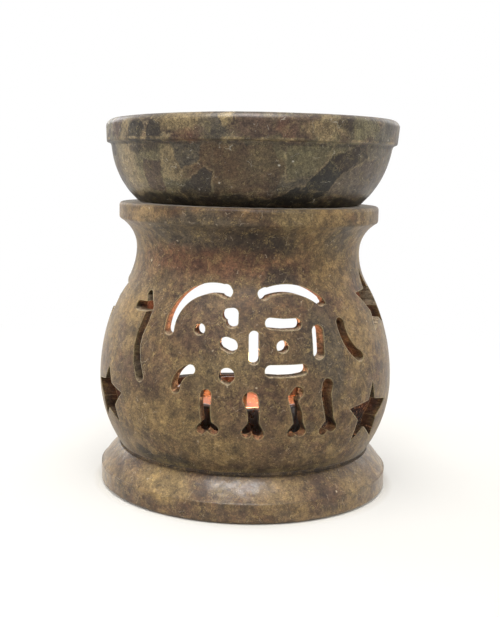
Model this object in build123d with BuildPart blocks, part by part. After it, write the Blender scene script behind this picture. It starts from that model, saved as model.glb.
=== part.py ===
from build123d import *
import os
from math import cos, pi, radians, sin

# Essential oil burner, hand turned in soapstone: a hollow body with a walking elephant and four
# stars sawn through its wall, a loose oil dish on its mouth, and a tealight on its floor.
# Millimetres, +Z up, origin at the centre of the underside. The elephant faces -Y, the door +Y.

os.makedirs("parts", exist_ok=True)

# Belly of the body, and the wall left when it is hollowed
belly_radius = 38.6
belly_height = 28.5
belly_tuck = 5.2
belly_wall = 3.5
shoulder_share = 0.75

# Base flange: how far it stands inside the belly, its upright band and the slope above it
base_inset = 0.5
base_band_height = 5.0
base_band_step = 0.25
base_edge_chamfer = 0.7
slope_rise = 5.7
slope_bulge = 0.3

# Groove between the base flange and the belly
groove_width = 0.9
groove_depth = 0.7

# Neck and mouth ring
body_height = 74.0
mouth_ring_height = 4.1
mouth_flare = 4.6
mouth_edge_round = 0.9
neck_radius = 29.2
neck_rise = 7.6
neck_wall = 3.5

# Floor inside
floor_thickness = 8.0
floor_tuck = 7.4

# Back door, where the tealight goes in: room beside the cup, sill, and the wall left under the neck
door_bearing = 180
door_clearance = 5.1
door_sill = 20.5
door_head_gap = 10.3
door_top_round = 12.0
door_sill_round = 3.0

# Drill and saw of the carver
drill_radius = 1.35
saw_width = 2.5

# Elephant panel: its feet above the table, and the wall left between its back and the neck
panel_foot = 20.5
panel_head_gap = 5.8

# Stars: the reach of their points, and the places of their centres
star_radius = 8.7
low_star_height = 24.6
high_star_drop = 12.3

# Oil dish
dish_height = 21.8
dish_radius = 37.95
dish_land = 3.1
dish_foot_height = 2.6
dish_foot_flare = 2.5
dish_wall_belly = 1.05
lip_height = 6.4
lip_taper = 0.35
lip_step = 1.2
lip_round = 1.2
rim_width = 5.55
bowl_depth = 16.4
bowl_side_run = 12.4
bowl_floor_dish = 1.2
seat_depth = 2.0
seat_clearance = 0.6

# Tealight: a standard cup, 38 mm across its rim
cup_radius = 18.7
cup_taper = 0.6
cup_height = 15.5
cup_foil = 0.3
pleat_count = 48
pleat_depth = 0.35
rim_bead_radius = 0.55
wax_drop = 3.3
wax_gap = 0.1
wax_pool_radius = 12.0
wax_pool_depth = 0.7
sustainer_radius = 6.5
sustainer_thickness = 0.4
sustainer_neck_radius = 1.6
sustainer_neck_height = 3.2
wick_radius = 0.85
wick_stand = 6.3
wick_gap = 0.05

# One overrun for every cut that has to pass a surface
overrun = 1.0

# Sizes of the body that follow from the values above
base_radius = belly_radius - base_inset
slope_radius = base_radius - base_band_step
groove_height = base_band_height + slope_rise
groove_low = groove_height - groove_width / 2
groove_high = groove_height + groove_width / 2
belly_start_radius = belly_radius - belly_tuck
groove_radius = belly_start_radius - groove_depth
neck_height = body_height - mouth_ring_height - neck_rise
mouth_radius = neck_radius + mouth_flare
bore_radius = neck_radius - neck_wall
inner_belly_radius = belly_radius - belly_wall
floor_radius = inner_belly_radius - floor_tuck
panel_height = neck_height - panel_head_gap - panel_foot
high_star_height = neck_height - high_star_drop
cup_rim_radius = cup_radius - pleat_depth + rim_bead_radius
door_width = 2 * (cup_rim_radius + door_clearance)
door_height = neck_height - door_head_gap - door_sill
cut_reach = belly_radius + overrun

# Sizes of the dish and the tealight that follow
dish_top = body_height + dish_height
dish_foot_radius = bore_radius + dish_land
dish_wall_radius = dish_radius - lip_taper - lip_step
bowl_radius = dish_radius - rim_width
bowl_floor_radius = bowl_radius - bowl_side_run
bowl_floor = dish_top - bowl_depth
seat_radius = bore_radius - seat_clearance
cup_rim = floor_thickness + cup_height
cup_inner_floor = floor_thickness + cup_foil
wax_height = cup_height - wax_drop
wax_top = floor_thickness + wax_height
wick_length = wax_top + wick_stand - cup_inner_floor


def radial_plane(bearing):
    """Upright plane through the axis that faces out at a bearing, in degrees right of the front."""
    a = radians(bearing)
    return Plane(origin=(0, 0, 0), x_dir=(cos(a), sin(a), 0), z_dir=(sin(a), -cos(a), 0))


def panel_point(u_share, height_share):
    """Point of the elephant panel from shares of its height, across and up from its foot."""
    return (u_share * panel_height, panel_foot + height_share * panel_height)


# Shares of the panel height. The sawn lines are arcs through three points, with the saw's width as
# a share of its full width.
ARC_SHARES = {
    "head": (-19.3, [(-0.190, 0.682), (-0.125, 0.866), (0.150, 0.947)], 1.04),
    "back": (20.3, [(-0.190, 0.933), (0.000, 0.961), (0.196, 0.877)], 0.84),
    "tusk": (-22.3, [(0.052, 0.444), (-0.014, 0.403), (-0.046, 0.315)], 0.96),
    "tail": (44.3, [(-0.070, 0.735), (-0.042, 0.612), (0.068, 0.505)], 1.02),
}

# Chains of drilled holes, run together with the saw: bearing, then for each chain its holes as
# across and up, shares of the panel height, and the radius as a share of the drill's.
CHAIN_SHARES = {
    "head_end": (-19.3, [[(0.150, 0.945, 1.15), (0.165, 0.935, 1.00)]]),
    "back_start": (20.3, [[(-0.197, 0.928, 0.98), (-0.180, 0.940, 0.90)]]),
    "back_tip": (20.3, [[(0.185, 0.884, 0.70), (0.222, 0.868, 0.30)]]),
    "eye": (-17.6, [[(0.000, 0.701, 1.00)]]),
    "ear_top": (-6.1, [[(-0.010, 0.798, 1.15), (0.015, 0.807, 1.00), (0.014, 0.757, 1.07)]]),
    "ear_middle": (-6.2, [[(-0.014, 0.622, 1.15), (0.016, 0.610, 1.22)]]),
    "ear_low": (-6.2, [[(0.000, 0.421, 1.37)], [(0.006, 0.385, 0.60)]]),
    "leg_1": (-12.6, [
        [(-0.014, 0.292, 1.00), (-0.019, 0.200, 0.93), (-0.008, 0.098, 0.88), (-0.044, 0.060, 0.90)],
        [(-0.008, 0.098, 0.88), (0.038, 0.062, 0.94)],
    ]),
    "leg_2": (3.6, [
        [(-0.024, 0.274, 1.35), (-0.003, 0.200, 1.05), (-0.001, 0.112, 0.92), (-0.043, 0.053, 0.96)],
        [(-0.001, 0.112, 0.92), (0.032, 0.041, 0.99)],
    ]),
    "leg_3": (19.2, [
        [(-0.004, 0.315, 1.08), (-0.034, 0.285, 0.94), (-0.028, 0.240, 0.82), (-0.004, 0.170, 0.95),
         (0.008, 0.106, 0.87), (-0.033, 0.046, 0.86)],
        [(0.008, 0.106, 0.87), (0.029, 0.054, 0.96)],
    ]),
    "leg_4": (32.0, [
        [(-0.022, 0.352, 1.14), (-0.034, 0.289, 1.04), (-0.018, 0.205, 0.97), (0.004, 0.110, 0.84),
         (-0.038, 0.044, 0.88)],
        [(0.004, 0.110, 0.84), (0.030, 0.063, 0.96)],
    ]),
    "trunk": (-46.2, [
        [(0.094, 0.350, 0.95), (0.050, 0.450, 0.95), (0.028, 0.545, 0.82), (0.030, 0.620, 0.80),
         (0.050, 0.720, 0.92), (0.055, 0.800, 0.75), (-0.004, 0.885, 0.62)],
        [(0.045, 0.805, 0.85), (-0.075, 0.802, 0.85)],
    ]),
    "cloth_left": (3.2, [[(0.000, 0.528, 0.90), (0.000, 0.674, 0.90)]]),
    "cloth_top": (14.7, [[(-0.086, 0.752, 0.97), (0.000, 0.744, 0.97), (0.086, 0.746, 0.97)]]),
    "cloth_right": (27.9, [[(0.000, 0.560, 1.15), (0.010, 0.694, 1.15)]]),
    "cloth_low": (15.0, [
        [(-0.104, 0.455, 1.08), (0.050, 0.456, 1.05), (0.107, 0.461, 0.97)],
    ]),
    "cloth_middle": (13.7, [[(0.000, 0.608, 1.07)]]),
}

# Outlines of the stars, cut by hand: points and waists in turn, clockwise from the top, as shares of
# the reach of their points
RIGHT_STAR_SHARES = [
    (0.05, 0.88), (0.19, 0.33), (1.01, 0.18), (0.46, -0.24), (0.44, -0.86),
    (-0.20, -0.43), (-0.65, -0.81), (-0.58, -0.17), (-1.01, 0.22), (-0.15, 0.34),
]
LEFT_STAR_SHARES = [
    (0.13, 1.00), (0.36, 0.53), (0.97, 0.36), (0.52, -0.08), (0.60, -0.56),
    (-0.02, -0.28), (-0.46, -0.64), (-0.45, -0.02), (-0.98, 0.44), (-0.18, 0.56),
]
HIGH_STAR_SHARES = [
    (0.00, 0.99), (0.30, 0.41), (1.02, 0.36), (0.57, -0.18), (0.74, -0.78),
    (0.02, -0.44), (-0.71, -0.73), (-0.58, -0.19), (-1.03, 0.36), (-0.31, 0.41),
]
HIGH_LEFT_STAR_SHARES = [
    (0.00, 0.99), (0.40, 0.48), (0.90, 0.38), (0.73, -0.10), (0.74, -0.76),
    (0.02, -0.44), (-0.71, -0.73), (-0.58, -0.19), (-1.03, 0.36), (-0.31, 0.41),
]
STARS = [
    (54.4, low_star_height, RIGHT_STAR_SHARES),
    (-64.0, low_star_height, LEFT_STAR_SHARES),
    (73.5, high_star_height, HIGH_STAR_SHARES),
    (-87.0, high_star_height, HIGH_LEFT_STAR_SHARES),
]


def between(first, second, share):
    """Point on the line from the first point to the second."""
    return tuple(a + share * (b - a) for a, b in zip(first, second))


def drilled_row(holes):
    """Two neighbouring holes and the sawn taper between them, or one hole by itself."""
    with BuildSketch() as row:
        for across, up, radius_share in holes:
            with Locations(panel_point(across, up)):
                Circle(drill_radius * radius_share)
        if len(holes) > 1:
            make_hull()
    return row.sketch


def chain_cut(bearing, chains):
    """Sketch of chains of drilled holes, on the upright plane at its bearing."""
    with BuildSketch(radial_plane(bearing)) as cut:
        for holes in chains:
            for i in range(max(1, len(holes) - 1)):
                add(drilled_row(holes[i:i + 2]))
    return cut.sketch


def arc_cut(bearing, point_shares, width_share):
    """Sketch of one sawn arc with round ends."""
    with BuildSketch(radial_plane(bearing)) as cut:
        with BuildLine(mode=Mode.PRIVATE):
            centre_line = ThreePointArc(*[panel_point(*share) for share in point_shares])
        SlotArc(centre_line, saw_width * width_share)
    return cut.sketch


def star_cut(bearing, height, outline_shares):
    """Sketch of one hand-cut star."""
    with BuildSketch(radial_plane(bearing)) as cut:
        Polygon(*[(star_radius * x, height + star_radius * y) for x, y in outline_shares], align=None)
    return cut.sketch


def pleats(radius):
    """Points of a pleated ring: crests at the radius, folds a pleat's depth inside it."""
    step = pi / pleat_count
    for i in range(2 * pleat_count):
        reach = radius - pleat_depth * (i % 2)
        yield (reach * cos(i * step), reach * sin(i * step))


# Burner body: turned outside and inside, then pierced

with BuildPart() as burner_body:
    with BuildSketch(Plane.XZ):
        with BuildLine():
            belly = (belly_radius, belly_height)
            neck = (neck_radius, neck_height)
            bend = between(belly, neck, shoulder_share)
            ring_low = (mouth_radius, body_height - mouth_ring_height)
            Line((0, 0), (base_radius, 0))
            Line((base_radius, 0), (base_radius, base_band_height))
            Line((base_radius, base_band_height), (slope_radius, base_band_height))
            slope = SagittaArc(
                (slope_radius, base_band_height),
                (belly_start_radius, groove_low),
                -slope_bulge,
            )
            Polyline(
                slope @ 1,
                (groove_radius, groove_low),
                (groove_radius, groove_high),
                (belly_start_radius, groove_high),
            )
            TangentArc(belly, (belly_start_radius, groove_high), tangent=(0, -1))
            TangentArc(belly, bend, tangent=(0, 1))
            TangentArc(neck, bend, tangent=(0, -1))
            TangentArc(neck, ring_low, tangent=(0, 1))
            Line(ring_low, (mouth_radius, body_height))
            Line((mouth_radius, body_height), (bore_radius, body_height))
            inner_belly = (inner_belly_radius, belly_height)
            inner_neck = (bore_radius, neck_height)
            inner_bend = between(inner_belly, inner_neck, shoulder_share)
            Line((bore_radius, body_height), inner_neck)
            TangentArc(inner_neck, inner_bend, tangent=(0, -1))
            TangentArc(inner_belly, inner_bend, tangent=(0, 1))
            TangentArc(inner_belly, (floor_radius, floor_thickness), tangent=(0, -1))
            Line((floor_radius, floor_thickness), (0, floor_thickness))
            Line((0, floor_thickness), (0, 0))
        make_face()
    revolve(axis=Axis.Z)
    rings = burner_body.edges().filter_by(GeomType.CIRCLE).group_by(Axis.Z)
    fillet([rings[-1].sort_by(SortBy.RADIUS)[-1], rings[-2][0]], mouth_edge_round)
    chamfer(burner_body.edges().filter_by(GeomType.CIRCLE).group_by(Axis.Z)[0], base_edge_chamfer)

    # The elephant: sawn arcs, then rows of drilled holes
    for bearing, point_shares, width_share in ARC_SHARES.values():
        extrude(arc_cut(bearing, point_shares, width_share), amount=cut_reach, mode=Mode.SUBTRACT)
    for bearing, chains in CHAIN_SHARES.values():
        extrude(chain_cut(bearing, chains), amount=cut_reach, mode=Mode.SUBTRACT)

    for bearing, height, outline_shares in STARS:
        extrude(star_cut(bearing, height, outline_shares), amount=cut_reach, mode=Mode.SUBTRACT)

    with BuildSketch(radial_plane(door_bearing)) as door:
        with Locations((0, door_sill + door_height / 2)):
            Rectangle(door_width, door_height)
        fillet(door.vertices().group_by(Axis.Y)[-1], door_top_round)
        fillet(door.vertices().group_by(Axis.Y)[0], door_sill_round)
    extrude(amount=cut_reach, mode=Mode.SUBTRACT)

burner_body.part.label = "burner_body"
export_step(burner_body.part, "parts/burner_body.step")


# Oil dish: one turned profile with a lip, a foot and a step that centres it in the mouth

with BuildPart() as oil_dish:
    with BuildSketch(Plane.XZ):
        with BuildLine():
            foot_edge = (dish_foot_radius, body_height)
            wall_start = (dish_foot_radius + dish_foot_flare, body_height + dish_foot_height)
            lip_low = dish_top - lip_height
            Polyline(
                (0, body_height - seat_depth),
                (seat_radius, body_height - seat_depth),
                (seat_radius, body_height),
                foot_edge,
                wall_start,
            )
            SagittaArc(wall_start, (dish_wall_radius, lip_low), -dish_wall_belly)
            Polyline(
                (dish_wall_radius, lip_low),
                (dish_radius - lip_taper, lip_low),
                (dish_radius, dish_top),
                (bowl_radius, dish_top),
            )
            floor_edge = (bowl_floor_radius, bowl_floor + bowl_floor_dish)
            TangentArc((bowl_radius, dish_top), floor_edge, tangent=(0, -1))
            TangentArc((0, bowl_floor), floor_edge, tangent=(1, 0))
            Line((0, bowl_floor), (0, body_height - seat_depth))
        make_face()
    revolve(axis=Axis.Z)
    rims = oil_dish.edges().filter_by(GeomType.CIRCLE).group_by(Axis.Z)[-1].sort_by(SortBy.RADIUS)
    fillet(rims, lip_round)

oil_dish.part.label = "oil_dish"
export_step(oil_dish.part, "parts/oil_dish.step")


# Tealight cup: pleated foil with a rolled rim

with BuildPart() as tealight_cup:
    for height, radius in ((floor_thickness, cup_radius - cup_taper), (cup_rim, cup_radius)):
        with BuildSketch(Plane.XY.offset(height)):
            Polygon(*pleats(radius), align=None)
    loft(ruled=True)
    with BuildSketch(Plane.XZ):
        with Locations((cup_radius - pleat_depth, cup_rim - rim_bead_radius)):
            Circle(rim_bead_radius)
    revolve(axis=Axis.Z)
    for height, radius in ((cup_inner_floor, cup_radius - cup_taper), (cup_rim, cup_radius)):
        with BuildSketch(Plane.XY.offset(height)):
            Polygon(*pleats(radius - cup_foil), align=None)
    loft(ruled=True, mode=Mode.SUBTRACT)

tealight_cup.part.label = "tealight_cup"
export_step(tealight_cup.part, "parts/tealight_cup.step")


# Wax: it fills the cup up to a shallow melted pool, round the sustainer and the wick

with BuildPart() as tealight_wax:
    wax_foot_radius = cup_radius - cup_taper - cup_foil - pleat_depth - wax_gap
    wax_rim_radius = wax_foot_radius + cup_taper * (wax_height - cup_foil) / cup_height
    with BuildSketch(Plane.XZ):
        with BuildLine():
            Polyline(
                (0, cup_inner_floor),
                (wax_foot_radius, cup_inner_floor),
                (wax_rim_radius, wax_top),
                (wax_pool_radius, wax_top),
            )
            TangentArc((0, wax_top - wax_pool_depth), (wax_pool_radius, wax_top), tangent=(1, 0))
            Line((0, wax_top - wax_pool_depth), (0, cup_inner_floor))
        make_face()
    revolve(axis=Axis.Z)
    pockets = [
        (sustainer_radius + wick_gap, sustainer_thickness),
        (sustainer_neck_radius + wick_gap, sustainer_neck_height),
        (wick_radius + wick_gap, wax_height),
    ]
    for radius, depth in pockets:
        with BuildSketch(Plane.XY.offset(cup_inner_floor)):
            Circle(radius)
        extrude(amount=depth, mode=Mode.SUBTRACT)

tealight_wax.part.label = "tealight_wax"
export_step(tealight_wax.part, "parts/tealight_wax.step")


# Wick sustainer: a tinned disc with a crimped neck round the wick

with BuildPart() as wick_sustainer:
    with BuildSketch(Plane.XY.offset(cup_inner_floor)):
        Circle(sustainer_radius)
    extrude(amount=sustainer_thickness)
    with BuildSketch(Plane.XY.offset(cup_inner_floor)):
        Circle(sustainer_neck_radius)
    extrude(amount=sustainer_neck_height)
    Hole(wick_radius + wick_gap)

wick_sustainer.part.label = "wick_sustainer"
export_step(wick_sustainer.part, "parts/wick_sustainer.step")


# Wick: waxed cotton, standing on the cup's floor

with BuildPart() as wick:
    with BuildSketch(Plane.XY.offset(cup_inner_floor)):
        Circle(wick_radius)
    extrude(amount=wick_length)
    fillet(wick.edges().group_by(Axis.Z)[-1], wick_radius / 2)

wick.part.label = "wick"
export_step(wick.part, "parts/wick.step")
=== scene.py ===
"""Dresses the soapstone oil burner: worn stone skins, foil, wax, a lit wick, camera and lights."""
import math

import bmesh
import bpy
import numpy as np
from mathutils import Matrix, Vector, noise


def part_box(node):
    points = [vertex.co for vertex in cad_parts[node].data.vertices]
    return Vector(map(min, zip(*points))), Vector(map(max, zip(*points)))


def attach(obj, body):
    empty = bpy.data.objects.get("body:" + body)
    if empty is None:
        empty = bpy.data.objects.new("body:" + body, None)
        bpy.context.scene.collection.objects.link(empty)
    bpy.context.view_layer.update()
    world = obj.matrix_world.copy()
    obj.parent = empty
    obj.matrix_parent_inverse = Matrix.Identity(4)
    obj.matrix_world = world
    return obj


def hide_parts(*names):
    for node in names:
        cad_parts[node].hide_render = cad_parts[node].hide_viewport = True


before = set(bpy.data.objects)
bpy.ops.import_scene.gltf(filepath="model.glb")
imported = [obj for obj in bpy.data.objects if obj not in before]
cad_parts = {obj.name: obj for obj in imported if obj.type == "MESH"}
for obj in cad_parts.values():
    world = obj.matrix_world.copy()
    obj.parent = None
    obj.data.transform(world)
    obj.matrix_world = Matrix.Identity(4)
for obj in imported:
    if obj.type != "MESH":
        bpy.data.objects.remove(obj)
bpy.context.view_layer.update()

MM = 0.001

# The photograph's frame and its camera, fitted to the rings of the lamp
PHOTO_HEIGHT = 617
FOCAL_PIXELS = 976.3
SENSOR = 36.0
CAMERA_DISTANCE = 258.1 * MM
CAMERA_HEIGHT = 83.5 * MM
CAMERA_PITCH = math.radians(8.3)
CAMERA_YAW = math.radians(-1.6)
CAMERA_ROLL = math.radians(1.2)
CAMERA_SHIFT = 0.05
CAMERA_CLIP = 10 * MM

# Heights on the lamp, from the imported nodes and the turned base
BODY_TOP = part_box("burner_body")[1].z
WICK_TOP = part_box("wick")[1].z
GROOVE = (10.2 * MM, 11.2 * MM)
BAND_TOP = 5.0 * MM

# How the body's turned skin is told from its cuts: slices of its profile, the depth that counts as
# one, and how far a face may sink below the skin and still be part of it
SLICE = 0.25 * MM
DEPTH_SCALE = 6 * MM
TURNED_FACING = 0.3
TURNED_SLACK = 1.6 * MM
GROOVE_SLACK = 3 * MM
LEDGE_SLACK = MM
LEDGE_BAND = 0.1 * MM
FLAT_BAND = 0.05 * MM

# Skin of the dish, which is rounded off by hand
DISH_VOXEL = 0.42 * MM
DISH_RELAX = 2
HAND_WOBBLE = 0.14 * MM
SLOW_WOBBLE = 14 * MM
QUICK_WOBBLE = 3 * MM
LIP_ROUND = 2.2 * MM
LIP_HEIGHT = 6.4 * MM
LOWER_ROUND = 0.45 * LIP_ROUND
DISH_FOOT = 3 * MM
DISH_LEAN = 0.5 * MM
DISH_DROOP = 0.9 * MM

# Flame and the light that it gives
FLAME_HEIGHT = 15 * MM
FLAME_RADIUS = 2.6 * MM
FLAME_TIP_RADIUS = 0.02 * MM
FLAME_SINK = 2.2 * MM
FLAME_LEAN = 0.9 * MM
FLAME_GLOW = 6.0
FLAME_RINGS = 24
FLAME_SIDES = 24
CANDLE_POWER = 0.062
CANDLE_COLOUR = (1.0, 0.46, 0.21)
CANDLE_RADIUS = 2.5 * MM

# Floor and backdrop in metres: reach to the front and each side, depth behind the lamp, the bend
# between floor and backdrop, and the backdrop's top
FLOOR_REACH = 1.2
FLOOR_DEPTH = 0.75
FLOOR_BEND = 0.25
FLOOR_BEND_STEPS = 8
BACKDROP_TOP = 1.4

# Floor's colour, and how white it is seen by distance from the lamp in mm: two distances and the
# shares there, for the wide shadow and for the dark line where the lamp stands
STAGE_COLOUR = (0.57, 0.55, 0.507, 1)
SHADOW_FADE = (60.0, 260.0, 0.35, 1.0)
CONTACT_FADE = (38.5, 41.0, 0.15, 1.0)

# Soft white light from all round, and the point that the lights aim at
WORLD_LEVEL = 0.55
AIM = (0, 0, 0.045)

# Lights: name, place and size in metres, power, whether colours show it and whether gloss does
LIGHTS = [
    ("top_light", (0.0, -0.17, 0.62), (0.24, 0.36), 3.8, True, False),
    ("top_shine", (-0.03, -0.18, 0.62), (0.34, 0.40), 6.5, False, True),
    ("key_light", (-0.60, -0.30, 0.45), (0.5, 0.5), 2.1, True, False),
    ("fill_light", (0.60, -0.35, 0.35), (0.5, 0.5), 1.2, True, False),
    ("low_light", (0.0, -0.70, 0.10), (0.3, 0.15), 0.5, True, False),
    ("left_side", (-0.46, 0.22, 0.16), (0.3, 0.3), 2.2, True, False),
    ("right_side", (0.46, 0.22, 0.16), (0.3, 0.3), 1.5, True, False),
    ("left_card", (-0.34, 0.46, 0.32), (0.16, 0.3), 0.8, True, True),
    ("right_card", (0.34, 0.46, 0.32), (0.16, 0.3), 0.4, True, True),
]


def srgb(red, green, blue):
    """Linear colour from 0 to 255 display values."""
    def linear(value):
        value /= 255
        return value / 12.92 if value <= 0.04045 else ((value + 0.055) / 1.055) ** 2.4
    return (linear(red), linear(green), linear(blue), 1.0)


def link(obj):
    bpy.context.scene.collection.objects.link(obj)
    return obj


class Nodes:
    """Short calls for building one node tree."""

    def __init__(self, tree):
        self.tree = tree

    def set(self, socket, value):
        if isinstance(value, bpy.types.NodeSocket):
            self.tree.links.new(value, socket)
        else:
            socket.default_value = value

    def node(self, kind, inputs=None, **settings):
        made = self.tree.nodes.new(kind)
        for name, value in settings.items():
            setattr(made, name, value)
        for name, value in (inputs or {}).items():
            self.set(made.inputs[name], value)
        return made

    def math(self, operation, a, b=0.0):
        return self.node("ShaderNodeMath", {0: a, 1: b}, operation=operation).outputs[0]

    def times(self, a, b):
        return self.math("MULTIPLY", a, b)

    def away(self, value, level):
        """How far a value is from a level, either way."""
        return self.math("ABSOLUTE", self.math("SUBTRACT", value, level))

    def left_of(self, share):
        """What a share leaves of one."""
        return self.math("SUBTRACT", 1.0, share)

    def range(self, value, low, high, to_low=0.0, to_high=1.0, smooth=False):
        return self.node("ShaderNodeMapRange", {
            "Value": value, "From Min": low, "From Max": high, "To Min": to_low, "To Max": to_high,
        }, interpolation_type="SMOOTHSTEP" if smooth else "LINEAR").outputs[0]

    def background_rays(self):
        """One where the camera, gloss or glass looks, and zero where light is gathered."""
        path = self.node("ShaderNodeLightPath")
        seen = path.outputs["Is Camera Ray"]
        for kind in ("Is Glossy Ray", "Is Transmission Ray"):
            seen = self.math("MAXIMUM", seen, path.outputs[kind])
        return seen


class Graph(Nodes):
    """One material's nodes."""

    def __init__(self, name):
        self.material = bpy.data.materials.new(name)
        self.material.use_nodes = True
        super().__init__(self.material.node_tree)
        self.shader = self.tree.nodes["Principled BSDF"]
        self.output = self.tree.nodes["Material Output"]

    def surface(self, **values):
        """Inputs of the shader, by their names with underscores for spaces."""
        for name, value in values.items():
            self.set(self.shader.inputs[name.replace("_", " ")], value)

    def place(self):
        """Position on the object, in millimetres."""
        return self.scaled(self.node("ShaderNodeTexCoord").outputs["Object"], 1 / MM)

    def facing(self):
        """Direction that the surface faces."""
        return self.node("ShaderNodeNewGeometry").outputs["Normal"]

    def attribute(self, name):
        return self.node("ShaderNodeAttribute", attribute_name=name).outputs["Fac"]

    def vector(self, operation, a, b=(0, 0, 0)):
        return self.node("ShaderNodeVectorMath", {0: a, 1: b}, operation=operation).outputs[0]

    def scaled(self, vector, factor):
        made = self.node("ShaderNodeVectorMath", {0: vector, "Scale": factor}, operation="SCALE")
        return made.outputs[0]

    def along(self, vector, axis):
        """Part of a vector along X, Y or Z."""
        return self.node("ShaderNodeSeparateXYZ", {0: vector}).outputs[axis]

    def dot(self, a, b):
        made = self.node("ShaderNodeVectorMath", {0: a, 1: b}, operation="DOT_PRODUCT")
        return made.outputs["Value"]

    def length(self, vector):
        made = self.node("ShaderNodeVectorMath", {0: vector}, operation="LENGTH")
        return made.outputs["Value"]

    def outward(self, place):
        """Direction away from the turning axis."""
        return self.vector("NORMALIZE", self.vector("MULTIPLY", place, (1, 1, 0)))

    def noise(self, vector, scale, detail=2.0, roughness=0.5, distortion=0.0, output="Fac"):
        return self.node("ShaderNodeTexNoise", {
            "Vector": vector, "Scale": scale, "Detail": detail, "Roughness": roughness,
            "Distortion": distortion,
        }).outputs[output]

    def shifted(self, vector, scale, reach, detail=3.0, roughness=0.5):
        """Vector moved by a noise, up to about a third of the reach each way."""
        field = self.noise(vector, scale, detail, roughness, output="Color")
        field = self.vector("SUBTRACT", field, (0.5, 0.5, 0.5))
        return self.vector("ADD", vector, self.scaled(field, reach))

    def cells(self, vector, scale, feature="F1"):
        return self.node("ShaderNodeTexVoronoi", {"Vector": vector, "Scale": scale}, feature=feature)

    def draw(self, cells):
        """One value from 0 to 1 for each cell."""
        return self.node("ShaderNodeSeparateColor", {0: cells.outputs["Color"]}).outputs[0]

    def ramp(self, value, stops):
        made = self.node("ShaderNodeValToRGB", {"Fac": value})
        elements = made.color_ramp.elements
        while len(elements) < len(stops):
            elements.new(0.5)
        for element, (place, colour) in zip(elements, stops):
            element.position = place
            element.color = colour
        return made.outputs[0]

    def stone_ramp(self, value, stops):
        return self.ramp(value, [(place, STONE[key]) for place, key in stops])

    def mix(self, share, a, b, blend="MIX"):
        made = self.node("ShaderNodeMix", data_type="RGBA", blend_type=blend)
        for socket, value in ((0, share), (6, a), (7, b)):
            self.set(made.inputs[socket], value)
        return made.outputs[2]

    def bump(self, height, distance, strength=1.0, normal=None):
        inputs = {"Height": height, "Distance": distance, "Strength": strength}
        if normal is not None:
            inputs["Normal"] = normal
        return self.node("ShaderNodeBump", inputs).outputs[0]


# Colours of the soapstone
STONE = {
    "olive": srgb(136, 119, 87),
    "tan": srgb(156, 137, 106),
    "gold": srgb(148, 127, 90),
    "brown": srgb(98, 76, 56),
    "purple": srgb(90, 70, 60),
    "grey": srgb(112, 100, 86),
    "green": srgb(112, 104, 80),
    "slate": srgb(86, 80, 72),
    "charcoal": srgb(46, 44, 42),
    "dark": srgb(60, 49, 42),
    "ochre": srgb(156, 136, 102),
    "red": srgb(120, 84, 68),
    "thread": srgb(184, 166, 118),
    "mauve": srgb(98, 86, 76),
    "shadow": srgb(62, 55, 49),
    "chalk": srgb(214, 206, 190),
    "worn": srgb(178, 164, 122),
}

# Colours of the raw stone in the cuts and the hollow, with the light and shade that fall there painted
# in
SAWN_GRAIN = [(0.0, srgb(30, 20, 16)), (0.5, srgb(52, 36, 28)), (1.0, srgb(82, 67, 42))]
SAWN_OUTER_LIGHT = srgb(104, 92, 60)
SAWN_LOW_GLOW = srgb(84, 58, 40)
SAWN_HIGH_GLOW = srgb(184, 126, 90)
SAWN_SIDE_GLOW = srgb(66, 46, 33)
SAWN_SILL_LIGHT = srgb(190, 168, 138)
SAWN_MOUTH_SHADE = srgb(54, 43, 36)
SAWN_FOOT = srgb(38, 26, 20)
SAWN_GLINT = srgb(200, 150, 110)

# Where those colours start and are full: heights in mm, distance in mm left or right of the middle,
# and depth below the skin as a share of the depth scale
GLOW_HEIGHTS = (32.0, 44.0)
HIGH_CUT_HEIGHTS = (38.0, 44.0)
LIT_SILL_HEIGHTS = (30.0, 33.0)
MOUTH_SHADE_HEIGHTS = (56.0, 61.0)
FOOT_HEIGHTS = (24.0, 18.0)
GLINT_HEIGHTS = (20.0, 19.0)
SIDE_CUTS = (19.5, 21.5)
OUTER_LIGHT_DEPTHS = (0.28, 0.06)
HIGH_CUT_DEPTHS = (0.04, 0.25)
HOLLOW_DEPTHS = (0.3, 0.6)

# Edges of the stone are worn above these heights in mm, and rounded by this radius
WORN_HEIGHTS = (11.6, 12.4)
EDGE_ROUND = 0.45 * MM

# How deep the bumps of the stone are: saw, uneven hand, pits and turning marks
SAW_DEPTH = 1.1 * MM
HAND_DEPTH = 0.5 * MM
PIT_DEPTH = 0.02 * MM
TURNING_DEPTH = 0.04 * MM

# Edge of a broken block, and how far outside it its seam runs and fades, in mm
SHARD_EDGE = 0.15
SEAM_AWAY = 0.3
SEAM_FADE = (0.3, 0.1)
FAR_INSIDE = -100.0

# Curled threads: features per mm, half width, share
THREADS = [(0.5, 0.018, 1.0), (0.95, 0.024, 0.8)]

# Pale chips and specks: features per mm, size, share of cells left without one, strength
CHIPS = [(0.30, 0.10, 0.78, 0.9), (0.9, 0.12, 0.62, 0.6)]

# Radius that the skin is unrolled at, in millimetres
UNROLL = 36.0

# Blotches all over a stone: seed, features per mm, level, softness, strength, colour
BODY_BLOTCHES = [
    (3.0, 0.10, 0.52, 0.04, 0.65, "purple"),
    (11.0, 0.16, 0.54, 0.03, 0.6, "grey"),
    (19.0, 0.22, 0.55, 0.04, 0.6, "olive"),
    (29.0, 0.35, 0.58, 0.03, 0.28, "tan"),
    (37.0, 0.50, 0.60, 0.03, 0.4, "dark"),
]
DISH_BLOTCHES = [
    (5.0, 0.12, 0.52, 0.02, 0.8, "slate"),
    (13.0, 0.20, 0.54, 0.015, 0.7, "purple"),
    (21.0, 0.22, 0.57, 0.012, 0.8, "charcoal"),
    (31.0, 0.25, 0.58, 0.02, 0.5, "tan"),
    (41.0, 0.60, 0.62, 0.02, 0.4, "dark"),
]

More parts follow.
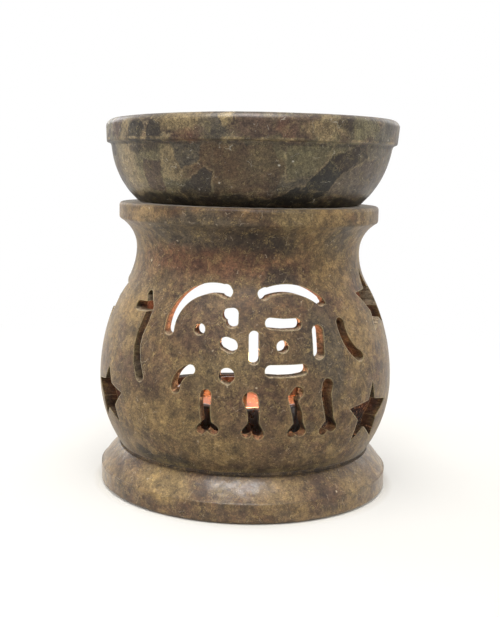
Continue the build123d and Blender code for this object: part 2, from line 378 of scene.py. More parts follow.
# Patches that the photograph shows: bearing, height, radius there, half width and half height in mm,
# softness, strength, colour
BODY_PATCHES = [
    (-14, 72.5, 33, 26, 2.2, 0.5, 0.65, "brown"),
    (0, 56, 32, 40, 7, 0.9, 0.35, "purple"),
    (2, 42, 38, 14, 8, 0.9, 0.3, "mauve"),
    (-46, 70, 33, 6, 4, 0.4, 0.5, "tan"),
    (-22, 68, 31, 15, 5, 0.3, 0.9, "slate"),
    (-2, 66, 30, 9, 4, 0.3, 0.7, "dark"),
    (16, 67, 30, 5, 4, 0.4, 0.6, "charcoal"),
    (18, 72, 33, 7, 2.5, 0.4, 0.6, "green"),
    (34, 70, 32, 6, 6, 0.3, 0.45, "gold"),
    (47, 66, 31, 5, 5, 0.25, 0.7, "slate"),
    (2, 60, 30, 13, 3.2, 0.6, 0.6, "red"),
    (-34, 61, 31, 10, 3.4, 0.6, 0.55, "red"),
    (14, 58, 31, 4, 3, 0.4, 0.7, "charcoal"),
    (44, 58, 31, 7, 6, 0.4, 0.6, "gold"),
    (38, 52, 34, 4.5, 3.4, 0.25, 0.8, "purple"),
    (50, 44, 37, 7, 7, 0.5, 0.4, "gold"),
    (-58, 50, 35, 6, 5, 0.4, 0.7, "gold"),
    (-20, 46, 36, 10, 5, 0.5, 0.6, "purple"),
    (30, 40, 38, 7, 12, 0.35, 0.9, "slate"),
    (20, 34, 38, 7, 4, 0.5, 0.5, "brown"),
    (-10, 35, 39, 10, 5, 0.6, 0.5, "green"),
    (4, 27, 38, 10, 8, 0.5, 0.6, "purple"),
    (16, 45, 38, 8, 5, 0.5, 0.5, "brown"),
    # Partly the stone's dark purple-brown, partly painted shade where the dish shades the upper belly
    (6, 51, 34, 8, 5, 0.6, 0.85, "brown"),
    (-40, 34, 38, 8, 8, 0.5, 0.5, "purple"),
    (-28, 24, 38, 12, 6, 0.6, 0.6, "olive"),
    (-6, 17, 36, 9, 3, 0.5, 0.6, "olive"),
    (12, 17, 36, 7, 2.6, 0.4, 0.6, "purple"),
    (-34, 12.6, 35, 10, 2.2, 0.3, 0.85, "charcoal"),
    (18, 12.6, 35, 14, 1.8, 0.4, 0.8, "dark"),
    (-55, 9, 36, 6, 2.6, 0.3, 0.7, "purple"),
    (-36, 7, 37, 8, 3, 0.4, 0.8, "ochre"),
    (-32, 7, 37, 7, 3, 0.6, 0.45, "thread"),
    (-37, 4.6, 38, 4, 1.4, 0.5, 0.4, "brown"),
    (-14, 2, 38, 12, 2, 0.4, 0.5, "purple"),
    (18, 7, 37, 7, 3, 0.4, 0.7, "ochre"),
    (32, 6, 37, 6, 4, 0.3, 0.7, "purple"),
    (50, 6, 37, 6, 3, 0.4, 0.6, "olive"),
]
DISH_PATCHES = [
    (-56, 83, 35, 7, 7, 0.4, 0.8, "tan"),
    (-38, 82, 35, 8, 7, 0.3, 0.8, "green"),
    (-31, 84, 35, 4, 5, 0.2, 0.7, "tan"),
    (-46, 88, 36, 6, 1.6, 0.3, 0.7, "dark"),
    (-14, 84, 36, 9, 5, 0.4, 0.7, "brown"),
    (12, 85, 36, 9, 3, 0.4, 0.8, "green"),
    (22, 80, 34, 8, 4, 0.4, 0.8, "slate"),
    (40, 86, 36, 8, 2.2, 0.3, 0.8, "green"),
    (58, 82, 35, 8, 7, 0.4, 0.8, "grey"),
    (55, 81, 35, 4, 5, 0.2, 0.5, "purple"),
    # Charcoal band round the dish's foot: painted shade under the dish
    (0, 75.4, 31, 60, 1.5, 0.4, 0.8, "charcoal"),
    (-53, 91.6, 38, 2.0, 4, 0.2, 0.7, "ochre"),
    (-24, 93.4, 38, 7, 2.6, 0.3, 0.75, "ochre"),
    (-22, 90.6, 38, 4, 1.6, 0.3, 0.7, "red"),
    (-13, 92, 38, 5, 3, 0.25, 0.7, "slate"),
    (-7.5, 94.5, 38, 2.2, 1.6, 0.25, 0.9, "ochre"),
    (2, 92.5, 38, 6, 2.6, 0.3, 0.85, "purple"),
    (12, 92.0, 38, 3, 2.4, 0.3, 0.6, "red"),
    (19, 92.2, 38, 3.6, 3.0, 0.2, 0.8, "purple"),
    (28, 92.6, 38, 5.5, 3, 0.3, 0.6, "ochre"),
    (37, 93.6, 38, 3.4, 2.0, 0.3, 0.8, "dark"),
    (45, 93.0, 38, 4.5, 2.6, 0.35, 0.85, "green"),
    (60, 92.6, 38, 4, 3, 0.3, 0.7, "slate"),
]

# Broken blocks that the photograph shows in the dish: strength, colour, corners by bearing and height
DISH_SHARDS = [
    (0.55, "brown", [(-13.5, 88), (7.3, 88.6), (13.9, 83.5), (10.4, 78.4), (-14, 77)]),
    (0.7, "green", [(13, 88.6), (31.6, 88.8), (25.9, 81.8), (14.6, 80.7)]),
    (0.8, "purple", [(-46, 85), (-36, 84.4), (-38, 77.4), (-48, 77.4)]),
    (0.8, "mauve", [(33.4, 78.1), (37.9, 82.4), (43.3, 84.3), (58, 85.6), (69, 80), (60, 76)]),
    (0.85, "slate", [(-31, 88.8), (-18, 88.6), (-20, 84.5), (-27, 82.5)]),
    (0.92, "shadow", [(-30.5, 77.6), (-17.4, 83.2), (-14.4, 82.2), (-16, 76.6), (-28.6, 76.2)]),
    (0.95, "charcoal", [(8, 75.0), (19.6, 79.0), (32.3, 79.6), (34, 77.4), (24.6, 75.0)]),
    (0.95, "charcoal", [(22, 78.8), (32, 86.3), (38.4, 82.3), (34, 78.0)]),
    (0.9, "dark", [(31.5, 86.0), (47.5, 89.4), (51, 86), (38, 82.3)]),
    (0.92, "shadow", [
        (-50.4, 92.4), (-48, 93.8), (-42.6, 93.6), (-41.3, 92.2), (-44, 88.8), (-52, 88.8),
    ]),
    (0.92, "shadow", [(-39.6, 92.6), (-37.6, 94.2), (-33.3, 92.6), (-34, 88.8), (-41, 88.8)]),
]

# What each stone is made of. Clouds and block colours are stops from 0 to 1. Blocks have features per
# mm, share and colours; lines round the turned edges, among them dark lines of painted shade in the
# groove and under the lip, have height, half width, strength and colour; mottles have features per mm,
# detail and depth. Tone is the stone's brightness, threads their share, and polish the roughness below
# and above the groove.
BODY_LOOK = {
    "clouds": [(0.0, "purple"), (0.3, "brown"), (0.55, "olive"), (0.8, "brown"), (1.0, "gold")],
    "blotches": BODY_BLOTCHES,
    "blocks": (0.13, 0.35, [(0.0, "purple"), (0.4, "brown"), (0.7, "olive"), (1.0, "grey")]),
    "patches": BODY_PATCHES,
    "shards": [],
    # The dark line in the groove is painted shade
    "lines": [(10.7, 0.9, 0.9, "dark"), (11.9, 0.9, 0.5, "green")],
    "mottles": [(0.18, 5.0, 0.15), (0.5, 5.0, 0.18), (1.3, 4.0, 0.12), (2.8, 3.0, 0.15)],
    "tone": (0.59, 0.52, 0.442, 1),
    "threads": 0.65,
    "polish": (0.38, 0.5),
    "waxed": True,
}
DISH_LOOK = {
    "clouds": [(0.0, "dark"), (0.3, "purple"), (0.5, "grey"), (0.7, "green"), (1.0, "tan")],
    "blotches": DISH_BLOTCHES,
    "blocks": (0.2, 0.8, [(0.0, "dark"), (0.4, "purple"), (0.7, "slate"), (1.0, "green")]),
    "patches": DISH_PATCHES,
    "shards": DISH_SHARDS,
    # The dark line under the lip is painted shade
    "lines": [(89.75, 0.45, 0.75, "tan"), (88.7, 0.5, 0.8, "dark")],
    "mottles": [(0.35, 5.0, 0.13), (1.1, 4.0, 0.15), (2.8, 3.0, 0.21)],
    "tone": (0.55, 0.548, 0.53, 1),
    "threads": 0.4,
    "polish": (0.36, 0.36),
    "waxed": False,
}


def patch(graph, place, bearing, height, radius, half_width, half_height, soft):
    """Mask of one patch of colour in the stone, with an edge as soft as it says."""
    a = math.radians(bearing)
    centre = (radius * math.sin(a), -radius * math.cos(a), height)
    offset = graph.vector("SUBTRACT", place, centre)
    share = graph.vector("DIVIDE", offset, (half_width, half_width, half_height))
    return graph.range(graph.length(share), 1.0 + soft, 1.0 - soft, smooth=True)


def unrolled(graph, place):
    """Place on the lamp's skin, unrolled round the turning axis, in millimetres."""
    part = graph.node("ShaderNodeSeparateXYZ", {0: place})
    turn = graph.math("ARCTAN2", part.outputs["X"], graph.times(part.outputs["Y"], -1.0))
    made = graph.node("ShaderNodeCombineXYZ", {"X": graph.times(turn, UNROLL), "Y": part.outputs["Z"]})
    return made.outputs[0]


def shard(graph, skin, corners):
    """Masks of a broken block of stone with straight sides, and of the pale seam along it."""
    points = [(math.radians(bearing) * UNROLL, height) for bearing, height in corners]
    pairs = list(zip(points, points[1:] + points[:1]))
    turn = math.copysign(1, sum(a[0] * b[1] - b[0] * a[1] for a, b in pairs))
    outside = FAR_INSIDE
    for a, b in pairs:
        length = math.dist(a, b)
        side = (turn * (b[1] - a[1]) / length, turn * (a[0] - b[0]) / length, 0)
        reach = side[0] * a[0] + side[1] * a[1]
        beyond = graph.math("SUBTRACT", graph.dot(skin, side), reach)
        outside = graph.math("MAXIMUM", beyond, outside)
    inside = graph.range(outside, SHARD_EDGE, -SHARD_EDGE)
    seam = graph.range(graph.away(outside, SEAM_AWAY), *SEAM_FADE)
    return inside, seam


def ground_colour(graph, place, warped, bent, look):
    """Clouds, blotches, broken blocks with pale seams between them, and the patches."""
    cloud = graph.noise(warped, 0.07, 5.0, 0.62)
    colour = graph.stone_ramp(graph.range(cloud, 0.3, 0.7), look["clouds"])
    for seed, scale, level, soft, strength, key in look["blotches"]:
        apart = graph.vector("ADD", bent, (seed, 2.3 * seed, -seed))
        field = graph.noise(apart, scale, 4.0, 0.58, 0.3)
        mask = graph.range(field, level - soft, level + soft, 0.0, strength)
        colour = graph.mix(mask, colour, STONE[key])
    block_scale, block_share, block_colours = look["blocks"]
    block_tone = graph.draw(graph.cells(bent, block_scale))
    seam = graph.cells(bent, block_scale, "DISTANCE_TO_EDGE").outputs["Distance"]
    zone = graph.range(graph.noise(place, 0.06, 2.0), 0.36, 0.48)
    inside = graph.times(graph.range(seam, 0.02, 0.05, smooth=True), zone)
    edge = graph.times(graph.range(seam, 0.05, 0.0, smooth=True), zone)
    blocks = graph.stone_ramp(block_tone, block_colours)
    colour = graph.mix(graph.times(inside, block_share), colour, blocks)
    colour = graph.mix(graph.times(edge, 0.5 * block_share), colour, STONE["tan"])
    for *form, strength, key in look["patches"]:
        mask = patch(graph, bent, *form)
        colour = graph.mix(graph.times(mask, strength), colour, STONE[key])
    return colour


def add_shards(graph, colour, place, normal, height, look):
    """Broken blocks that the photograph shows, worn and coloured lines round the turned edges, and dark
    lines of painted shade in the groove and under the lip.
    """
    skin = unrolled(graph, graph.shifted(place, 0.45, 2.2, 4.0, 0.6))
    broken = graph.range(graph.noise(place, 0.35, 2.0), 0.40, 0.56)
    outside = graph.range(graph.dot(graph.outward(place), normal), 0.02, 0.25)
    for strength, key, corners in look["shards"]:
        mask, seam = shard(graph, skin, corners)
        mask = graph.times(graph.times(mask, strength), outside)
        colour = graph.mix(mask, colour, STONE[key])
        seam = graph.times(graph.times(seam, broken), outside)
        colour = graph.mix(graph.times(seam, 0.35), colour, STONE["tan"])
    # Lines round the turned edges; the dark ones are painted shade in the groove and under the dish's
    # lip
    for level, half, strength, key in look["lines"]:
        line = graph.times(graph.range(graph.away(height, level), half, 0.4 * half), broken)
        colour = graph.mix(graph.times(line, strength), colour, STONE[key])
    return colour


def add_grain(graph, colour, place, warped, look):
    """Mottling at several sizes, fine curled threads and thin dark veins."""
    for scale, detail, depth in look["mottles"]:
        mottle = graph.range(graph.noise(place, scale, detail, 0.7, 0.6), 0.38, 0.62)
        low, high = 0.5 - depth, 0.5 + depth
        colour = graph.mix(1.0, colour, graph.ramp(mottle, [
            (0.0, (low, low, low + 0.01, 1)), (1.0, (high, high, high - 0.02, 1)),
        ]), "OVERLAY")
    for scale, width, share in THREADS:
        curl = graph.noise(graph.shifted(place, 0.6, 2.4), scale, 2.0, 0.5, 1.2)
        where = graph.range(graph.noise(place, 0.4, 3.0, 0.6), 0.46, 0.58)
        thread = graph.times(graph.range(graph.away(curl, 0.5), width, 0.3 * width), where)
        colour = graph.mix(graph.times(thread, share * look["threads"]), colour, STONE["thread"])
    vein = graph.away(graph.noise(warped, 0.11, 3.0, 0.55), 0.5)
    return graph.mix(graph.range(vein, 0.0, 0.012, 0.5, 0.0), colour, STONE["dark"])


def pale_marks(graph, place):
    """Mask of pale chips, specks and short scratches."""
    mark = 0.0
    for scale, size, held, strength in CHIPS:
        dot = graph.cells(graph.shifted(place, 1.2, 0.8), scale)
        near = graph.range(dot.outputs["Distance"], size, 0.4 * size)
        chip = graph.times(near, graph.range(graph.draw(dot), held, held + 0.02))
        mark = graph.math("MAXIMUM", mark, graph.times(chip, strength))
    line = graph.cells(graph.shifted(place, 0.35, 3.0), 0.2, "DISTANCE_TO_EDGE").outputs["Distance"]
    where = graph.range(graph.noise(place, 0.55, 2.0), 0.57, 0.63)
    line = graph.times(graph.range(line, 0.012, 0.004), where)
    return graph.math("MAXIMUM", mark, graph.times(line, 0.5))


def blade_marks(graph, place):
    """Marks that the saw left, along the way that it cut."""
    around = graph.scaled(graph.outward(place), UNROLL)
    blade = graph.vector("ADD", around, graph.vector("MULTIPLY", place, (0.4, 0.4, 1)))
    return graph.noise(graph.shifted(blade, 0.7, 1.6), 1.2, 4.0, 0.75, 0.6)


def sawn_colour(graph, place, normal, height, saw):
    """Raw stone in the cuts and the hollow, with painted copper candle light, painted light near the
    openings and on the sills, painted shade under the dish, walls darker towards the feet, and painted
    glints.
    """
    depth = graph.attribute("depth")
    grain = graph.range(graph.noise(place, 0.5, 4.0, 0.65, 0.8), 0.38, 0.62)
    sawn = graph.ramp(grain, SAWN_GRAIN)
    # Painted light on the raw walls close to the skin, where light from outside reaches in
    outer = graph.range(depth, *OUTER_LIGHT_DEPTHS)
    sawn = graph.mix(graph.times(outer, 0.4), sawn, SAWN_OUTER_LIGHT)
    # Painted copper candle light: on the upper cuts near the middle, and everywhere deep inside
    lit = graph.mix(graph.range(height, *GLOW_HEIGHTS), SAWN_LOW_GLOW, SAWN_HIGH_GLOW)
    beside = graph.range(graph.math("ABSOLUTE", graph.along(place, "X")), *SIDE_CUTS)
    high_cut = graph.times(graph.range(height, *HIGH_CUT_HEIGHTS), graph.range(depth, *HIGH_CUT_DEPTHS))
    high_cut = graph.times(high_cut, graph.left_of(beside))
    lit = graph.mix(graph.times(beside, 0.75), lit, SAWN_SIDE_GLOW)
    shown = graph.math("MAXIMUM", graph.range(depth, *HOLLOW_DEPTHS), high_cut)
    sawn = graph.mix(graph.times(shown, 0.75), sawn, lit)
    # Painted light on the upward sills, painted shade at the top of the hollow under the dish, and the
    # raw walls darker towards the feet
    upward = graph.range(graph.along(normal, "Z"), 0.35, 0.8)
    lit_sill = graph.times(upward, graph.range(height, *LIT_SILL_HEIGHTS))
    sawn = graph.mix(graph.times(lit_sill, 0.85), sawn, SAWN_SILL_LIGHT)
    # Painted shade at the top of the hollow, under the dish
    sawn = graph.mix(graph.range(height, *MOUTH_SHADE_HEIGHTS, 0.0, 0.8), sawn, SAWN_MOUTH_SHADE)
    # Raw walls darker towards the feet
    sawn = graph.mix(graph.range(height, *FOOT_HEIGHTS, 0.0, 0.85), sawn, SAWN_FOOT)
    sawn = graph.mix(1.0, sawn, graph.ramp(graph.range(saw, 0.38, 0.62), [
        (0.0, (0.2, 0.2, 0.2, 1)), (1.0, (0.8, 0.8, 0.8, 1)),
    ]), "OVERLAY")
    # Painted copper glints low in the cuts, near the feet
    glint = graph.times(graph.range(height, *GLINT_HEIGHTS), graph.range(saw, 0.56, 0.62))
    return graph.mix(graph.times(glint, 0.9), sawn, SAWN_GLINT)


def stone_bump(graph, place, raw, saw, mark, rounded):
    """Normal of the stone: rounded edges, blade marks, an uneven hand, pits and turning marks."""
    normal = graph.bump(saw, SAW_DEPTH, raw, rounded)
    hand = graph.noise(place, 0.16, 2.0)
    normal = graph.bump(hand, HAND_DEPTH, 0.5, normal)
    pits = graph.math("SUBTRACT", graph.noise(place, 2.6, 4.0, 0.7), graph.times(mark, 0.5))
    normal = graph.bump(pits, PIT_DEPTH, 0.6, normal)
    turning = graph.noise(graph.vector("MULTIPLY", place, (0.03, 0.03, 1.7)), 1.0, 3.0)
    return graph.bump(turning, TURNING_DEPTH, 0.4, normal)


def add_wax(graph, place, height, raw, turned, normal):
    """Waxed coat on the base, streaked and thin on its edges, and a faint sheen all over the skin."""
    low, high = (level / MM for level in GROOVE)
    share = graph.times(graph.range(height, high, low), graph.left_of(raw))
    share = graph.times(share, graph.range(turned, 0.0, 0.5, 1.0, 0.1))
    skin = unrolled(graph, graph.vector("MULTIPLY", place, (1, 1, 1.6)))
    streak = graph.noise(graph.shifted(skin, 0.2, 3.0), 0.5, 4.0, 0.7, 0.5)
    graph.surface(
        Coat_Weight=graph.times(share, graph.range(streak, 0.4, 0.6, 0.62, 0.2)),
        Coat_Roughness=0.26,
        Coat_Tint=(1.0, 0.93, 0.82, 1),
        Coat_IOR=1.5,
        Coat_Normal=normal,
        Sheen_Weight=graph.times(graph.left_of(raw), 0.19),
        Sheen_Roughness=0.35,
        Sheen_Tint=(1.0, 0.95, 0.86, 1),
    )


def stone_material(name, look):
    """Soapstone with the given look, rubbed smooth outside and raw where it is sawn."""
    graph = Graph(name)
    place = graph.place()
    height = graph.along(place, "Z")
    facing = graph.facing()
    warped = graph.shifted(graph.shifted(place, 0.09, 16.0), 0.45, 5.0, 4.0, 0.65)
    bent = graph.shifted(graph.shifted(place, 0.2, 6.0), 0.7, 1.1, 3.0, 0.55)

    colour = ground_colour(graph, place, warped, bent, look)
    colour = add_shards(graph, colour, place, facing, height, look)
    colour = add_grain(graph, colour, place, warped, look)
    mark = pale_marks(graph, place)
    colour = graph.mix(mark, colour, STONE["chalk"])
    colour = graph.mix(1.0, colour, look["tone"], "MULTIPLY")

    # Edges: rounded by handling, paler where they are worn
    rounded = graph.node("ShaderNodeBevel", {"Radius": EDGE_ROUND}, samples=6).outputs[0]
    turned = graph.range(graph.dot(rounded, facing), 0.99, 0.84)
    rub = graph.noise(place, 0.8, 4.0, 0.6)
    clear = graph.range(height, *WORN_HEIGHTS)
    wear = graph.times(graph.times(turned, clear), graph.range(rub, 0.32, 0.52))

    raw = graph.attribute("raw")
    saw = blade_marks(graph, place)
    colour = graph.mix(raw, colour, sawn_colour(graph, place, facing, height, saw))
    colour = graph.mix(graph.times(wear, 0.7), colour, STONE["worn"])

    # Finish: rubbed satin outside, with another polish on each side of the groove
    low, high = (level / MM for level in GROOVE)
    polish = graph.range(height, low, high, *look["polish"])
    roughness = graph.math("ADD", graph.range(rub, 0.3, 0.7, 0.0, 0.12), polish)
    roughness = graph.math("ADD", roughness, graph.times(raw, 0.06))
    roughness = graph.math("ADD", roughness, graph.times(mark, 0.2))
    normal = stone_bump(graph, place, raw, saw, mark, rounded)
    graph.surface(Base_Color=colour, Roughness=roughness, Normal=normal, IOR=1.36)
    if look["waxed"]:
        add_wax(graph, place, height, raw, turned, normal)
    return graph.material


def vector_array(collection, name):
    """Array of three values each, read from a mesh's collection."""
    values = np.empty(len(collection) * 3)
    collection.foreach_get(name, values)
    return values.reshape(-1, 3)


def outer_radius(points, heights):
    """Radius of the turned skin at some heights, from the widest point of every slice."""
    radius = np.hypot(points[:, 0], points[:, 1])
    slices = np.floor((points[:, 2] - points[:, 2].min()) / SLICE).astype(int)
    widest = np.zeros(slices.max() + 1)
    np.maximum.at(widest, slices, radius)
    middle = points[:, 2].min() + (np.arange(len(widest)) + 0.5) * SLICE
    held = widest > 0
    return np.interp(heights, middle[held], widest[held])


def add_values(mesh, name, values, domain):
    layer = mesh.attributes.new(name, "FLOAT", domain)
    layer.data.foreach_set("value", np.clip(values, 0, 1).astype(np.float32))


def body_skin(material):
    """The pierced body with its cuts and hollow told from its turned skin."""
    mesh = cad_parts["burner_body"].data.copy()
    mesh.name = "body_skin"
    skin = link(bpy.data.objects.new("body_skin", mesh))
    points = vector_array(mesh.vertices, "co")
    depth = outer_radius(points, points[:, 2]) - np.hypot(points[:, 0], points[:, 1])
    add_values(mesh, "depth", depth / DEPTH_SCALE, "POINT")
    centres = vector_array(mesh.polygons, "center")
    normals = vector_array(mesh.polygons, "normal")
    radius = np.hypot(centres[:, 0], centres[:, 1])
    outward = normals[:, 0] * centres[:, 0] + normals[:, 1] * centres[:, 1]
    facing = outward / np.maximum(radius, MM)
    sunk = outer_radius(points, centres[:, 2]) - radius
    height = centres[:, 2]
    turned = (facing > TURNED_FACING) & (sunk < TURNED_SLACK)
    ledge = (np.abs(height - BAND_TOP) < LEDGE_BAND) & (sunk < LEDGE_SLACK)
    flats = (height < FLAT_BAND) | (height > BODY_TOP - FLAT_BAND) | ledge
    groove = (height > GROOVE[0]) & (height < GROOVE[1]) & (sunk < GROOVE_SLACK)
    add_values(mesh, "raw", np.where(turned | flats | groove, 0, 1), "FACE")
    mesh.materials.clear()
    mesh.materials.append(material)
    return skin


def round_edge(points, height, size, side):
    """Rubs an outer edge of the dish to a round; the side is 1 for a top edge, -1 for a lower one."""
    radius = np.hypot(points[:, 0], points[:, 1])
    near = np.abs(points[:, 2] - height) < 2 * size
    centre = radius[near].max() - size
    beyond = np.maximum(radius - centre, 0)
    above = np.maximum(side * (points[:, 2] - height) + size, 0)
    reach = np.hypot(beyond, above)
    cut = near & (beyond > 0) & (above > 0) & (reach > size)
    kept = size / reach[cut]
    points[cut, :2] *= ((centre + beyond[cut] * kept) / radius[cut])[:, None]
    points[cut, 2] -= side * above[cut] * (1 - kept)


def lean_dish(points):
    """Leans the dish a little to the right and lets its left rim droop, as the photograph shows."""
    top = points[:, 2].max()
    outer = np.abs(points[:, 0]).max()
    foot = BODY_TOP + DISH_FOOT
    rise = np.clip((points[:, 2] - foot) / (top - foot), 0, 1)
    left = np.clip(-points[:, 0] / outer, 0, 1)
    points[:, 0] += DISH_LEAN * rise
    points[:, 2] -= DISH_DROOP * rise * left ** 1.5


def remeshed(node):
    """Fine even mesh of a CAD node, smoothed."""
    rough = link(bpy.data.objects.new("dish_rough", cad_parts[node].data.copy()))
    rough.data.materials.clear()
    remesh = rough.modifiers.new("remesh", "REMESH")
    remesh.mode = "VOXEL"
    remesh.voxel_size = DISH_VOXEL
    relax = rough.modifiers.new("relax", "SMOOTH")
    relax.factor = 0.5
    relax.iterations = DISH_RELAX
    view = bpy.context.evaluated_depsgraph_get()
    mesh = bpy.data.meshes.new_from_object(rough.evaluated_get(view))
    bpy.data.objects.remove(rough)
    return mesh


def dish_skin(material):
    """The dish with its edges rounded off and its surface uneven, as turned by hand."""
    mesh = remeshed("oil_dish")
    mesh.name = "dish_skin"
    skin = link(bpy.data.objects.new("dish_skin", mesh))
    points = vector_array(mesh.vertices, "co")
    normals = vector_array(mesh.vertex_normals, "vector")
    slow = np.array([noise.noise(Vector(p) / SLOW_WOBBLE) for p in points])
    quick = np.array([noise.noise(Vector(p) / QUICK_WOBBLE) for p in points])
    inward = HAND_WOBBLE * (0.6 + 0.5 * slow + 0.35 * quick)
    points -= normals * np.maximum(inward, 0)[:, None]
    top = points[:, 2].max()
    round_edge(points, top, LIP_ROUND, 1)
    round_edge(points, top - LIP_HEIGHT, LOWER_ROUND, -1)
    lean_dish(points)
    mesh.vertices.foreach_set("co", points.ravel())
    mesh.polygons.foreach_set("use_smooth", [True] * len(mesh.polygons))
    mesh.update()
    mesh.materials.append(material)
    return skin


def make_stones():
    """Skins that stand for the body and the dish."""
    body_stone = stone_material("body_soapstone", BODY_LOOK)
    dish_stone = stone_material("dish_soapstone", DISH_LOOK)
    for skin, node, slot in (
        (body_skin(body_stone), "burner_body", "body_soapstone"),
        (dish_skin(dish_stone), "oil_dish", "dish_soapstone"),
    ):
        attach(skin, node)
        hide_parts(node)


def give_material(node, material):
    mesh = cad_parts[node].data
    mesh.materials.clear()
    mesh.materials.append(material)


def foil_material():
    """Bright creased foil, with painted copper-brown shade on the inner wall of the cup."""
    graph = Graph("foil")
    place = graph.place()
    crease = graph.noise(place, 0.9, 4.0, 0.6, 0.4)
    smear = graph.noise(place, 0.3, 3.0)
    bright = graph.ramp(smear, [(0.3, srgb(196, 196, 198)), (0.7, srgb(224, 223, 220))])
    inner = graph.range(graph.dot(graph.outward(place), graph.facing()), 0.0, -0.3)
    # Painted copper-brown shade on the cup's inner wall
    inner_shade = graph.times(inner, graph.range(crease, 0.2, 0.6, 0.6, 0.9))
    graph.surface(
        Base_Color=graph.mix(inner_shade, bright, srgb(74, 50, 36)),
        Metallic=1.0,
        Roughness=graph.range(crease, 0.3, 0.7, 0.22, 0.4),
        Normal=graph.bump(crease, 0.12 * MM, 0.5),
    )
    return graph.material


def wax_material():
    """Cloudy wax, melted and glossy in places, painted dark copper-brown for its dim candle-lit look.
    """
    graph = Graph("wax")
    place = graph.place()
    cloud = graph.noise(place, 0.25, 4.0)
    ripple = graph.noise(place, 0.5, 2.0)
    graph.surface(
        # Painted shade and candle light: the wax is coloured dark copper-brown
        Base_Color=graph.ramp(cloud, [(0.3, srgb(98, 70, 46)), (0.7, srgb(116, 86, 58))]),
        Roughness=graph.range(ripple, 0.3, 0.7, 0.12, 0.3),
        Normal=graph.bump(ripple, 0.1 * MM, 0.4),
        Subsurface_Weight=0.4,
        Subsurface_Radius=(1.0, 0.6, 0.35),
        Subsurface_Scale=3 * MM,
    )
    return graph.material


def steel_material():
    """Stained tinned steel."""
    graph = Graph("tinned_steel")
    stain = graph.noise(graph.place(), 0.8, 4.0)
    graph.surface(
        Base_Color=graph.ramp(stain, [(0.35, srgb(150, 146, 138)), (0.65, srgb(186, 184, 178))]),
        Metallic=1.0,
        Roughness=graph.range(stain, 0.3, 0.7, 0.3, 0.5),
    )
    return graph.material


def wick_material():
    """Twisted cotton, charred at its top."""
    graph = Graph("cotton")
    place = graph.place()
    top = WICK_TOP / MM
    char = graph.range(graph.along(place, "Z"), top - 7.0, top - 4.0)
    twist = graph.node("ShaderNodeTexWave", {
        "Vector": place, "Scale": 1.4, "Distortion": 1.0,
    }, bands_direction="DIAGONAL").outputs["Fac"]
    graph.surface(
        Base_Color=graph.mix(char, srgb(214, 206, 186), srgb(26, 20, 17)),
        Roughness=graph.range(twist, 0.0, 1.0, 0.8, 0.95),
        Normal=graph.bump(twist, 0.15 * MM, 0.8),
    )
    return graph.material


def flame_mesh(base):
    """Turned teardrop that stands on its base and leans a little to the left."""
    form = bmesh.new()
    rows = []
    for i in range(FLAME_RINGS + 1):
        t = i / FLAME_RINGS
        width = FLAME_RADIUS * math.sin(math.pi * t ** 0.62) ** 0.9 * (1 - 0.35 * t)
        width = max(width, FLAME_TIP_RADIUS)
        lean = -FLAME_LEAN * t * t
        row = []
        for j in range(FLAME_SIDES):
            a = 2 * math.pi * j / FLAME_SIDES
            point = (width * math.cos(a) + lean, width * math.sin(a), base + t * FLAME_HEIGHT)
            row.append(form.verts.new(point))
        rows.append(row)
    for lower, upper in zip(rows, rows[1:]):
        for j in range(FLAME_SIDES):
            k = (j + 1) % FLAME_SIDES
            form.faces.new((lower[j], lower[k], upper[k], upper[j]))
    form.faces.new(list(reversed(rows[0])))
    form.faces.new(rows[-1])
    mesh = bpy.data.meshes.new("flame")
    form.to_mesh(mesh)
    form.free()
    for polygon in mesh.polygons:
        polygon.use_smooth = True
    return mesh


def flame_material(base):
    """Glow from blue at the wick through pale yellow to orange at the tip."""
    graph = Graph("flame")
    height = graph.along(graph.place(), "Z")
    glow = graph.range(height, base / MM, (base + FLAME_HEIGHT) / MM)
    tint = graph.ramp(glow, [
        (0.0, srgb(120, 140, 255)), (0.14, srgb(255, 170, 90)), (0.35, srgb(255, 236, 170)),
        (0.8, srgb(255, 214, 120)), (1.0, srgb(255, 150, 50)),
    ])
    graph.surface(Base_Color=(0, 0, 0, 1), Emission_Color=tint, Emission_Strength=FLAME_GLOW)
    return graph.material


def make_flame():
    """Flame on the wick, and the light that it gives."""
    base = WICK_TOP - FLAME_SINK
    mesh = flame_mesh(base)
    mesh.materials.append(flame_material(base))
    flame = link(bpy.data.objects.new("flame", mesh))
    flame.visible_shadow = False
    flame.visible_diffuse = False
    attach(flame, "tealight")
    lamp = bpy.data.lights.new("candle_light", "POINT")
    lamp.energy = CANDLE_POWER
    lamp.color = CANDLE_COLOUR
    lamp.shadow_soft_size = CANDLE_RADIUS
    candle = link(bpy.data.objects.new("candle_light", lamp))
    candle.location = (0, 0, base + 0.5 * FLAME_HEIGHT)
    candle.parent = flame
    candle.matrix_parent_inverse = flame.matrix_world.inverted()


def stage_material(name, colour):
    """Pale matte surface that the camera, gloss and glass see white, with the lamp's shadow kept."""
    graph = Graph(name)
    seen = graph.background_rays()
    away = graph.length(graph.place())
    share = graph.range(away, *SHADOW_FADE, smooth=True)
    share = graph.times(share, graph.range(away, *CONTACT_FADE, smooth=True))
    glow = graph.node("ShaderNodeEmission", {"Color": (1, 1, 1, 1), "Strength": 1.0})
    graph.surface(Base_Color=colour, Roughness=0.9)
    mixed = graph.node("ShaderNodeMixShader", {
        0: graph.times(seen, share), 1: graph.shader.outputs[0], 2: glow.outputs[0],
    })
    graph.set(graph.output.inputs["Surface"], mixed.outputs[0])
    return graph.material


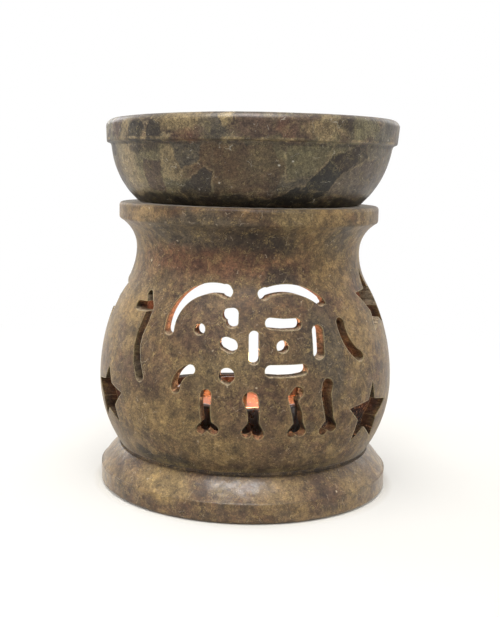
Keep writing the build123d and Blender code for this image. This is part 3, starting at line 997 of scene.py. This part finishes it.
def make_stage():
    """Floor that curves up into a white backdrop."""
    profile = [(-FLOOR_REACH, 0.0), (FLOOR_DEPTH, 0.0)]
    for i in range(1, FLOOR_BEND_STEPS + 1):
        a = math.radians(90 * i / FLOOR_BEND_STEPS)
        profile.append((FLOOR_DEPTH + FLOOR_BEND * math.sin(a), FLOOR_BEND * (1 - math.cos(a))))
    profile.append((FLOOR_DEPTH + FLOOR_BEND, BACKDROP_TOP))
    mesh = bpy.data.meshes.new("floor")
    vertices = [(x, y, z) for y, z in profile for x in (-FLOOR_REACH, FLOOR_REACH)]
    faces = [(2 * i, 2 * i + 1, 2 * i + 3, 2 * i + 2) for i in range(len(profile) - 1)]
    mesh.from_pydata(vertices, [], faces)
    for polygon in mesh.polygons:
        polygon.use_smooth = True
    mesh.materials.append(stage_material("stage_white", STAGE_COLOUR))
    floor = link(bpy.data.objects.new("floor", mesh))


def add_area(name, place, size, power, diffuse, glossy):
    """Soft light aimed at the lamp."""
    lamp = bpy.data.lights.new(name, "AREA")
    lamp.shape = "RECTANGLE"
    lamp.size, lamp.size_y = size
    lamp.energy = power
    box = link(bpy.data.objects.new(name, lamp))
    box.location = place
    box.rotation_euler = (Vector(AIM) - Vector(place)).to_track_quat("-Z", "Y").to_euler()
    box.visible_diffuse = diffuse
    box.visible_glossy = glossy


def make_lights():
    """Soft studio lights, and a world that is white where it is looked at."""
    for light in LIGHTS:
        add_area(*light)
    world = bpy.data.worlds.new("studio")
    world.use_nodes = True
    bpy.context.scene.world = world
    nodes = Nodes(world.node_tree)
    background = nodes.tree.nodes["Background"]
    background.inputs["Color"].default_value = (1, 1, 1, 1)
    level = nodes.range(nodes.background_rays(), 0.0, 1.0, WORLD_LEVEL, 1.0)
    nodes.set(background.inputs["Strength"], level)


def make_camera():
    """Camera of the photograph."""
    data = bpy.data.cameras.new("camera")
    data.sensor_width = SENSOR
    data.lens = FOCAL_PIXELS / PHOTO_HEIGHT * SENSOR
    data.shift_x = CAMERA_SHIFT
    data.clip_start = CAMERA_CLIP
    camera = link(bpy.data.objects.new("camera", data))
    forward = Vector((
        math.sin(CAMERA_YAW) * math.cos(CAMERA_PITCH),
        math.cos(CAMERA_YAW) * math.cos(CAMERA_PITCH),
        -math.sin(CAMERA_PITCH),
    ))
    right = Vector((math.cos(CAMERA_YAW), -math.sin(CAMERA_YAW), 0))
    up = right.cross(forward)
    turned_right = math.cos(CAMERA_ROLL) * right + math.sin(CAMERA_ROLL) * up
    turned_up = math.cos(CAMERA_ROLL) * up - math.sin(CAMERA_ROLL) * right
    basis = Matrix((turned_right, turned_up, -forward)).transposed()
    camera.matrix_world = Matrix.Translation((0, -CAMERA_DISTANCE, CAMERA_HEIGHT)) @ basis.to_4x4()
    bpy.context.scene.camera = camera


make_camera()
make_stage()
make_lights()
make_stones()
give_material("tealight_cup", foil_material())
give_material("tealight_wax", wax_material())
give_material("wick_sustainer", steel_material())
give_material("wick", wick_material())
make_flame()
bpy.context.scene.view_settings.view_transform = "Standard"
